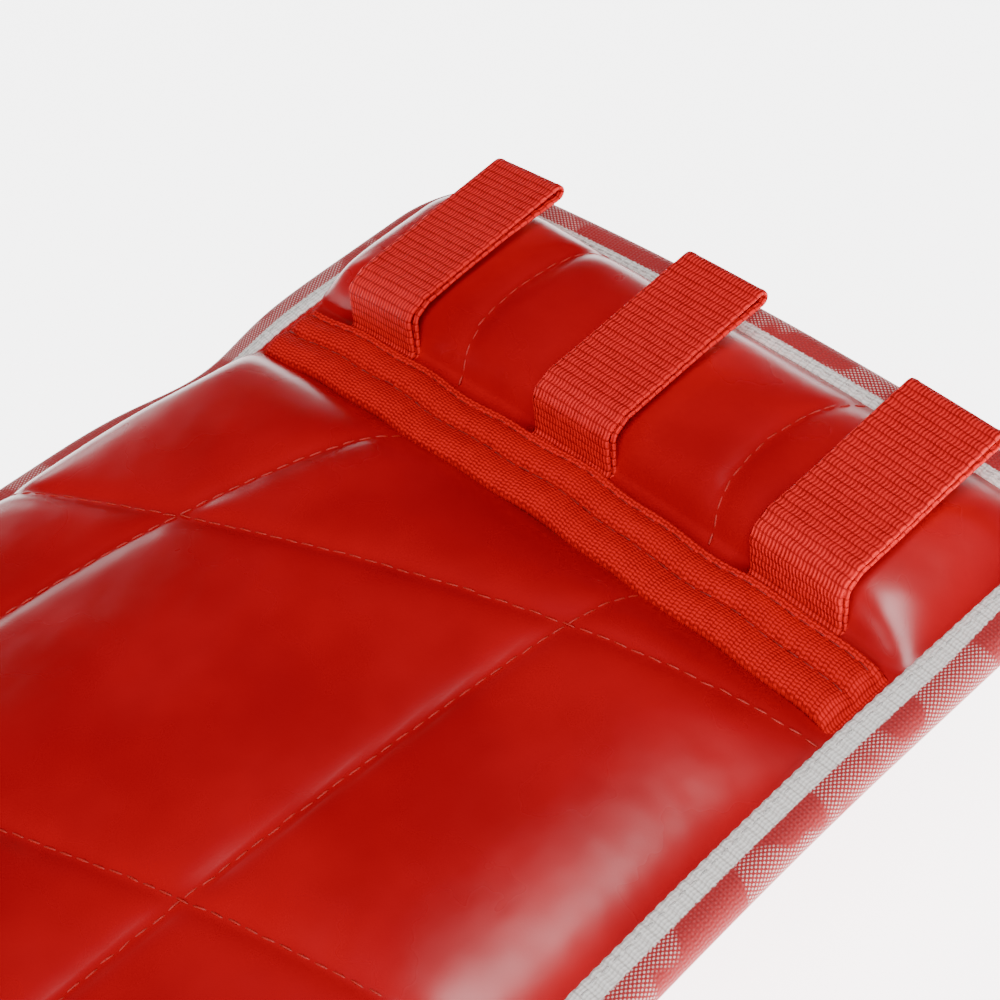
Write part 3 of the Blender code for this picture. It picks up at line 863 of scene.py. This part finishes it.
def band_height(v):
    """Height of the band over its half width v from -1 to 1: two low swells, the lower strip the higher, a fine
    groove between them, a groove under the upper edge, and edges that turn down."""
    lower, upper = 1.3 * MM * bell(v + 0.52, 0.34), 0.7 * MM * bell(v - 0.34, 0.26)
    lines = 1.3 * MM * groove(v - 0.02, 0.09) + 0.9 * MM * groove(v - 0.74, 0.07)
    edge = 2.0 * MM * np.clip((np.abs(v) - 0.90) / 0.10, 0, 1) ** 2
    return 5.0 * MM + lower + upper - lines - edge


def band(name, sign, height):
    """A band over the fold, on the face (sign 1) or the back (sign -1). Its ends dip under the edge tape in a
    smooth step."""
    s = np.linspace(-1, 1, 181)[:, None]
    v = np.linspace(-1, 1, 49)[None, :]
    wave = 0.5 * MM * np.sin(s * 9 + 1.0) + 0.35 * MM * np.sin(s * 23)
    y = FOLD_Y + v * BAND_HALF + wave
    x = (half_width(y) - BAND_REACH) * s
    under = np.clip((np.abs(s) - 0.935) / 0.045, 0, 1)
    under = under * under * (3 - 2 * under)
    z = rim_height(x, y) + sign * (height(v) * (1 - under) + 2.5 * MM * under)
    weave = np.stack(np.broadcast_arrays((s + 1) * (END_HALF - BAND_REACH), (v + 1) * BAND_HALF), -1)
    faces = grid_faces(*x.shape)
    points = drawn_in(np.stack([x + 0 * v, y + 0 * s, z], -1))
    faces = faces[:, ::-1] if sign > 0 else faces
    return thicken(add_piece(name, points, faces, BAND_WEBBING, weave), 1.2 * MM)


cross_band = band("cross_band", 1, band_height)
back_band = band("back_band", -1, lambda v: band_height(v) - 0.4 * MM)
print("bands:", round(2 * BAND_HALF / MM), "mm wide, on the face and on the back")

# %% [markdown]
# **Belt loops.** Each is a length of webbing folded double. Both ends are sewn under the band, and the webbing
# turns up, over a knee, and lies over the flap. The fold at the tip is the widest turn, so it stands open.

# %% Belt loops
LOOP_WIDTH = {"left": 23 * MM, "middle": 24 * MM, "right": 25 * MM}
loops = {}
for side, rise in (("left", 0.4), ("middle", 0.0), ("right", -0.4)):
    centre = (LOOP_BOXES[side][0][0] + LOOP_BOXES[side][1][0]) / 2
    drop = ARCH * (centre / 0.092) ** 2 / MM
    upper = [(5.5, 3.4), (11.0, 3.4), (12.0, 15.0), (17.5, 17.4),
             (30, 18.1 + rise), (45, 19.4 + rise), (64.4, 20.9 + rise)]
    under = [(64.4, 17.7 + rise), (45, 17.5 + rise), (30, 16.4 + rise),
             (18.4, 15.5), (14.1, 13.2), (12.4, 2.1), (5.5, 2.1)]
    corners = (np.array(upper + under) - [0, drop]) * MM + [FOLD_Y, RIM_Z]
    radii = in_mm(1.2, 3.2, 2.4, 18, 30, 1.58, 1.58, 30, 18, 2.4, 2.6, 0.9)
    path = round_path(corners, radii, 0.6 * MM)
    loops[side] = strap(f"webbing_loop_{side}", path, "yz", centre, LOOP_WIDTH[side], 1.15 * MM, LOOP_WEBBING)
    points = np.empty((len(loops[side].data.vertices), 3), dtype=np.float32)
    loops[side].data.vertices.foreach_get("co", points.ravel())
    points[:, 2] -= ARCH * ((points[:, 0] / 0.092) ** 2 - (centre / 0.092) ** 2)
    loops[side].data.vertices.foreach_set("co", points.ravel())
print("one loop:", round(arc_length(path)[-1] / MM), "mm of webbing")

# %% [markdown]
# ## The holder's side
# Two straps go round the forearm. Each is sewn to a patch on one side, passes through a steel ring on the other
# and folds back on itself, where hook-and-loop tape holds it. The strap itself stays with the pad. Its tail,
# which peels away on the real pad, is a second piece with no body; the two meet over the ring's lower bar.

# %% Forearm straps, rings and tabs
straps, tails, rings, ring_tabs = {}, {}, {}, {}


def ring_of(name, centre, half_y, half_z, corner, wire):
    """A wire ring: a circle carried round a rectangle with round corners, in the yz plane."""
    quarter = np.linspace(0, np.pi / 2, 10)
    turns = (1, 1, 0), (-1, 1, 1), (-1, -1, 2), (1, -1, 3)
    line = np.concatenate([np.stack([sy * (half_y - corner) + corner * np.cos(quarter + k * np.pi / 2),
                                     sz * (half_z - corner) + corner * np.sin(quarter + k * np.pi / 2)], -1)
                           for sy, sz, k in turns])
    side = -side_of(line, closed=True)
    t = np.linspace(0, 2 * np.pi, 20, endpoint=False)
    yz = line[:, None, :] + side[:, None, :] * (wire * np.cos(t))[None, :, None] + [centre[1], centre[2]]
    x = np.broadcast_to(centre[0] + wire * np.sin(t), yz.shape[:2])
    return add_piece(name, np.concatenate([x[..., None], yz], -1), grid_faces(*yz.shape[:2], True, True), WIRE)


for name in ("wrist", "elbow"):
    low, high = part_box(f"{name}_strap")
    y_mid = (low[1] + high[1]) / 2
    path = round_path(in_mm((-77, 79.9), (-62, 79.9), (-62, 1.0), (62, 1.0), (62, 64.0), (67.2, 64.0)),
                      in_mm(5, 34, 34, 4.98), 1.2 * MM)
    straps[name] = strap(f"{name}_forearm_strap", path, "xz", y_mid, 50 * MM, 2 * MM, STRAP_WEBBING)
    path = round_path(in_mm((67.2, 64.0), (72.7, 64.0), (72.7, 54.0), (67.3, 46), (67.3, 15.5), (51.4, 3.6)),
                      in_mm(4.9, 10, 12, 33.5), 1.2 * MM)
    tails[name] = strap(f"{name}_strap_tail", path, "xz", y_mid, 50 * MM, 1.9 * MM, STRAP_WEBBING)
    rings[name] = ring_of(f"{name}_wire_ring", (0.067, y_mid, 0.066), 28 * MM, 7 * MM, 5 * MM, 1.8 * MM)
    corners = in_mm((77.6, 80.2), (64.5, 80.2), (64.5, 70.4), (69.6, 70.4), (69.6, 78.9), (77.6, 78.9))
    path = round_path(corners, in_mm(2.8, 2.4, 2.4, 1.6), 0.7 * MM)
    ring_tabs[name] = strap(f"{name}_tab_webbing", path, "xz", y_mid, 44 * MM, 1.0 * MM, STRAP_WEBBING)
print("forearm straps:", len(straps), "with", len(rings), "rings")

# %% [markdown]
# The hand grip is a padded roll that hangs in two slings of webbing. The roll is a tube whose radius swells
# between the slings, and its ends are gathered: the tube closes over each end as a quarter circle.

# %% Hand grip and arm cushion
GRIP_Y, GRIP_Z = 86 * MM, 50.9 * MM
t = np.linspace(0, 1, 111)
end = np.clip(np.minimum(t, 1 - t) / 0.06, 0, 1)
along_grip = (t - 0.5) * 100 * MM
pinch = sum(bell(np.abs(along_grip) - place, 3.2 * MM) for place in (26 * MM, 44 * MM))
radius = 12.9 * MM * np.sqrt(1 - (1 - end) ** 2 * 0.985) - 0.385 * MM * pinch
angle = np.linspace(0, 2 * np.pi, 64, endpoint=False)
wrinkle = 1 + 0.022 * np.sin(angle * 7 + 1) * (1 - end[:, None] * 0.7) + 0.008 * np.sin(angle * 3)
ring = radius[:, None] * wrinkle
grip_points = np.stack([along_grip[:, None] + 0 * ring, GRIP_Y + ring * np.cos(angle),
                        GRIP_Z + ring * np.sin(angle)], -1)
grip_roll = add_piece("grip_roll", grip_points, grid_faces(*ring.shape, closed_columns=True), BACK_SKIN)
close_ends(grip_roll, *ring.shape)

slings = {}
for side in ("left", "right"):
    low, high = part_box(f"grip_hanger_{side}")
    turn = np.radians(np.linspace(112, 428, 60))
    r = 14.35 * MM
    bow = np.stack([GRIP_Y + r * np.cos(turn), GRIP_Z + r * np.sin(turn)], -1)
    path = np.vstack([[GRIP_Y - 0.9 * MM, 79.0 * MM], [GRIP_Y - 0.9 * MM, 69.5 * MM], bow,
                      [GRIP_Y + 0.9 * MM, 69.5 * MM], [GRIP_Y + 0.9 * MM, 79.0 * MM]])
    slings[side] = strap(f"grip_sling_{side}", path, "yz", (low[0] + high[0]) / 2, 18 * MM, 1.3 * MM,
                         STRAP_WEBBING)


def cushion_drop(x, y, low, high):
    """Depth of the arm cushion below its seat: it rises from its border as an exponential and has two grooves
    across it."""
    inside = np.minimum(np.minimum(x - low[0], high[0] - x), np.minimum(y - low[1], high[1] - y))
    full = 1 - np.exp(-np.clip(inside, 0, None) / (5 * MM))
    third = (high[1] - low[1]) / 3
    lines = groove(y - low[1] - third, 5 * MM) + groove(y - high[1] + third, 5 * MM)
    return 1.2 * MM + 11.4 * MM * full * (1 - 0.32 * lines)


low, high = (np.array(corner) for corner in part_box("arm_cushion_cover"))
s, v = np.linspace(-1, 1, 61)[None, :], np.linspace(-1, 1, 121)[:, None]
squeeze_x = np.sqrt(1 - 0.13 * v**12)
squeeze_y = np.sqrt(1 - 0.05 * s**12)
x = (low[0] + high[0]) / 2 + s * squeeze_x * (high[0] - low[0]) / 2
y = (low[1] + high[1]) / 2 + v * squeeze_y * (high[1] - low[1]) / 2
arm_cushion = block("arm_cushion", x, y, high[2] + 0 * x, high[2] - cushion_drop(x, y, low, high), BACK_SKIN)
inner = 0.965 * (x - (low[0] + high[0]) / 2), 0.985 * (y - (low[1] + high[1]) / 2) + (low[1] + high[1]) / 2
drop = cushion_drop(inner[0], inner[1], low, high)
arm_foam = block("arm_cushion_filling", *inner, high[2] - 0.5 * MM,
                 high[2] - np.maximum(drop - SKIN, 0.9 * MM), SOFT_FOAM)
print("grip roll:", round(2 * radius.max() / MM, 1), "mm thick, in", len(slings), "slings")

# %% [markdown]
# ## Stitches
# Every seam is sewn with stitches about 4 mm long. One small capsule is copied along each line: its ends touch
# the fabric and its middle stands a little proud. All the stitches of one set of lines are one piece.


# %% Stitches
def capsule(sides=6):
    """A unit capsule from -0.5 to 0.5 along x: six rings whose radius follows a flat arch, and their faces."""
    t = np.array([-0.5, -0.42, -0.2, 0.2, 0.42, 0.5])
    r = np.array([0.15, 0.75, 1.0, 1.0, 0.75, 0.15])
    turn = np.linspace(0, 2 * np.pi, sides, endpoint=False)
    t, y, z = np.broadcast_arrays(t[:, None], r[:, None] * np.cos(turn), r[:, None] * np.sin(turn))
    return np.stack([t, y, z], -1).reshape(-1, 3), grid_faces(6, sides, closed_columns=True)


def stitches(name, lines, finish, pitch=4 * MM, radius=0.25 * MM, cover=0.76, up=1.0, seed=1):
    """Stitches along lines: each takes the direction between two neighbouring points, wanders a little to the
    side, and is set into the fabric at its ends."""
    chance = np.random.default_rng(seed)
    template, faces = capsule()
    points, joined = [], []
    for line in lines:
        even = spread(line, pitch)
        start, stop = even[:-1], even[1:]
        length = np.linalg.norm(stop - start, axis=1, keepdims=True)
        ahead = (stop - start) / length
        flat = unit(np.cross([0, 0, up], ahead))
        above = np.cross(ahead, flat)
        middle = (start + stop) / 2 + flat * chance.normal(0, 0.14 * MM, length.shape)
        ahead = ahead + flat * chance.normal(0, 0.05, length.shape)
        bow = template[None, :, :1]
        body = (middle[:, None, :] + bow * (length * cover)[:, None, :] * ahead[:, None, :]
                + template[None, :, 1:2] * radius * flat[:, None, :]
                + (template[None, :, 2:] * radius * 0.8 - (bow**2) * 1.6 * radius) * above[:, None, :])
        joined.append((faces[None] + (np.arange(len(middle)) * len(template))[:, None, None]
                       + sum(len(p) for p in points)).reshape(-1, 4))
        points.append(body.reshape(-1, 3))
    return add_piece(name, np.concatenate(points), np.concatenate(joined), finish)


def on_face(x, y, lift=0.25 * MM):
    """A line on the face cover. Points under the tape or the band are left out."""
    x, y = np.broadcast_arrays(x, y)
    shown = (edge_distance(x, y) > TAPE_IN) & (np.abs(y - FOLD_Y) > BAND_HALF + 0.5 * MM)
    x, y = x[shown], y[shown]
    return drawn_in(np.stack([x, y, face_z(x, y) + lift], -1))


y_main = np.linspace(MAIN_END, FOLD_Y, 700)
y_flap = np.linspace(FOLD_Y, FLAP_END, 300)
x_all = np.linspace(-0.11, 0.11, 500)
cross_lines = []
for number in range(CROSS_COUNT):
    y_line = cross_seam(x_all, number)
    keep = (y_line > MAIN_END + 1 * MM) & (y_line < FOLD_Y - BAND_HALF)
    cross_lines.append(on_face(x_all[keep], y_line[keep]))
main_lines = [on_face(long_seam_left(y_main), y_main), on_face(long_seam_right(y_main), y_main)] + cross_lines
main_stitches = stitches("main_seam_stitches", [l for l in main_lines if len(l) > 8], SEAM_THREAD)
flap_lines = [on_face(flap_seam(y_flap, middle), y_flap) for middle in (FLAP_LEFT, FLAP_RIGHT)]
flap_stitches = stitches("flap_seam_stitches", flap_lines, SEAM_THREAD, seed=2)


def band_line(v):
    """A line just above the band at v of its half width."""
    s = np.linspace(-0.94, 0.94, 300)
    y = FOLD_Y + v * BAND_HALF + 0.5 * MM * np.sin(s * 9 + 1.0) + 0.35 * MM * np.sin(s * 23)
    x = (half_width(y) - BAND_REACH) * s
    return drawn_in(np.stack([x, y, rim_height(x, y) + band_height(v) + 0.15 * MM], -1))


band_low = stitches("lower_strip_stitches", [band_line(-0.10)], BAND_THREAD, radius=0.2 * MM, seed=3)
band_high = stitches("upper_strip_stitches", [band_line(0.76)], BAND_THREAD, radius=0.2 * MM, seed=4)


def tape_stitches(name, up, seed):
    """The row that holds the tape, 2 mm in from its inner border, on the face (up 1) or the back (up -1)."""
    xy = line - normal * (TAPE_IN - 2.0 * MM)
    row = drawn_in(np.stack([xy[:, 0], xy[:, 1], rim_height(*xy.T) + up * (RIM_HALF + 0.05 * MM)], -1))
    row = np.vstack([row, row[:1]])
    return stitches(name, [row], WHITE_THREAD, 3.1 * MM, 0.26 * MM, 0.7, up, seed)


face_row = tape_stitches("binding_face_stitches", 1.0, 5)
back_row = tape_stitches("binding_back_stitches", -1.0, 6)
print("face seams:", round(sum(arc_length(l)[-1] for l in main_lines + flap_lines), 2), "m of thread on show")

# %% [markdown]
# ## What each piece rides on
# Some pieces go with one body of the frame and are parented to it. The covers, the tape and the band are whole
# over the fold; they, the rows of stitches on the band and the tape, the loops and the strap tails are left in
# place with no body.

# %% Bodies and stand-ins
for piece, nodes, finish_slot in (
        (face_cover, ("main_face_cover", "flap_face_cover"), "face_vinyl"),
        (back_cover, ("main_back_cover", "flap_back_cover"), "back_vinyl"),
        (binding, ("main_edge_binding", "flap_edge_binding"), "edge_tape"),
        (cross_band, ("lower_face_strip", "upper_face_strip"), "cross_strip"),
        (back_band, ("lower_back_strip", "upper_back_strip"), "cross_strip"),
        (band_low, (), "cross_strip"), (band_high, (), "cross_strip"),
        (face_row, (), "edge_tape"), (back_row, (), "edge_tape")):
    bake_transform(piece)
    if nodes:
        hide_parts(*nodes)
for (part, layer), piece in FOAM.items():
    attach(piece, "pad" if part == "main" else "flap")
    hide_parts(f"{part}_{layer}_foam")
for piece, body, nodes, finish_slot in (
        (main_stitches, "pad", (), "face_vinyl"), (flap_stitches, "flap", (), "face_vinyl"),
        (arm_cushion, "pad", ("arm_cushion_cover",), "back_vinyl"),
        (arm_foam, "pad", ("arm_cushion_foam",), "soft_foam"),
        (grip_roll, "grip", ("grip_sleeve",), "back_vinyl")):
    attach(piece, body)
    if nodes:
        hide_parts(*nodes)
for side, piece in slings.items():
    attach(piece, "grip")
    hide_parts(f"grip_hanger_{side}")
for side, piece in loops.items():
    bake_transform(piece)
    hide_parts(f"belt_loop_{side}", f"belt_loop_{side}_root")
for name in straps:
    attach(straps[name], "pad")
    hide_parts(f"{name}_strap")
    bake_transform(tails[name])
    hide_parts(f"{name}_closing_tab")
    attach(rings[name], f"{name}_ring")
    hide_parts(f"{name}_ring")
    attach(ring_tabs[name], "pad")
    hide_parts(f"{name}_ring_tab")

# %% [markdown]
# The patches, the hook-and-loop tapes and the grip's core keep the shape that the frame gives them, and only
# take better finishes.

# %% Finishes for pieces kept from the frame
KEPT = {"patch": BACK_SKIN, "loop_tape": LOOP_PILE, "hook_tape": HOOK_PILE, "grip_core": FIRM_FOAM}
for node, shape in frame["nodes"].items():
    for word, finish in KEPT.items():
        if word in node and not shape.hide_render:
            shape.data.materials.clear()
            shape.data.materials.append(finish)
print("kept:", [n for n, o in frame["nodes"].items() if not o.hide_render])

# %% [markdown]
# ## Studio
# The pad is seen from above its right side. A soft light overhead gives the broad highlight on the right slope,
# a weak one beyond the left edge pales the far swell, and a large one in front lights the webbing. The floor
# glows white, as a studio table does.

# %% Floor, lights and camera
ground = Finish("floor", (0.86, 0.86, 0.86), 0.9, Emission_Strength=5.0)
ground.shader.inputs["Emission Color"].default_value = (1.0, 1.0, 1.0, 1.0)
ground.colour(ground.mix(ground.noise(0.4), (0.90, 0.90, 0.90), (0.94, 0.94, 0.94)))
floor = add_piece("floor", 6.0 * np.array([[-1, -1, 0], [1, -1, 0], [1, 1, 0], [-1, 1, 0]]),
                  np.array([[0, 1, 2, 3]]), ground.material)
print("floor:", len(floor.data.vertices), "corners, 12 m across")
floor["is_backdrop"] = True

room = bpy.data.worlds.new("room")
room.use_nodes = True
room.node_tree.nodes["Background"].inputs["Color"].default_value = (1.0, 1.0, 1.0, 1.0)
room.node_tree.nodes["Background"].inputs["Strength"].default_value = 0.04
bpy.context.scene.world = room


def soft_light(name, place, target, size, power):
    """A square area light at place that faces target."""
    lamp = bpy.data.lights.new(name, "AREA")
    lamp.shape, lamp.size, lamp.energy = "SQUARE", size, power
    made = bpy.data.objects.new(name, lamp)
    bpy.context.scene.collection.objects.link(made)
    made.location = place
    made.rotation_euler = (Vector(target) - Vector(place)).to_track_quat("-Z", "Y").to_euler()
    made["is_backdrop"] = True
    return made


soft_light("overhead", (0.46, 0.24, 1.24), (0.05, 0.05, 0.09), 0.42, 9)
soft_light("low_left", (-1.6, 0.45, 0.46), (-0.1, 0.10, 0.09), 0.35, 2.0)
soft_light("front", (0.9, -1.1, 1.3), (0.0, 0.05, 0.09), 1.2, 34)

EYE = Vector((0.29870, -0.08861, 0.46252))
FORWARD = Vector((-0.5848, 0.3970, -0.7075)).normalized()
ROLL = math.radians(-12.40)
level = FORWARD.cross(Vector((0, 0, 1))).normalized()
over = level.cross(FORWARD)
right = level * math.cos(ROLL) + over * math.sin(ROLL)
upward = right.cross(FORWARD)
lens = bpy.data.cameras.new("camera")
lens.lens, lens.sensor_width, lens.clip_start = 82.92, 36.0, 0.01
camera = bpy.data.objects.new("camera", lens)
bpy.context.scene.collection.objects.link(camera)
camera.matrix_world = Matrix((
    (right.x, upward.x, -FORWARD.x, EYE.x), (right.y, upward.y, -FORWARD.y, EYE.y),
    (right.z, upward.z, -FORWARD.z, EYE.z), (0, 0, 0, 1)))
bpy.context.scene.camera = camera

# %% Sizes, and the end
low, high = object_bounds()
print("visual box in mm:", [round(v / MM, 1) for v in (*low, *high)])
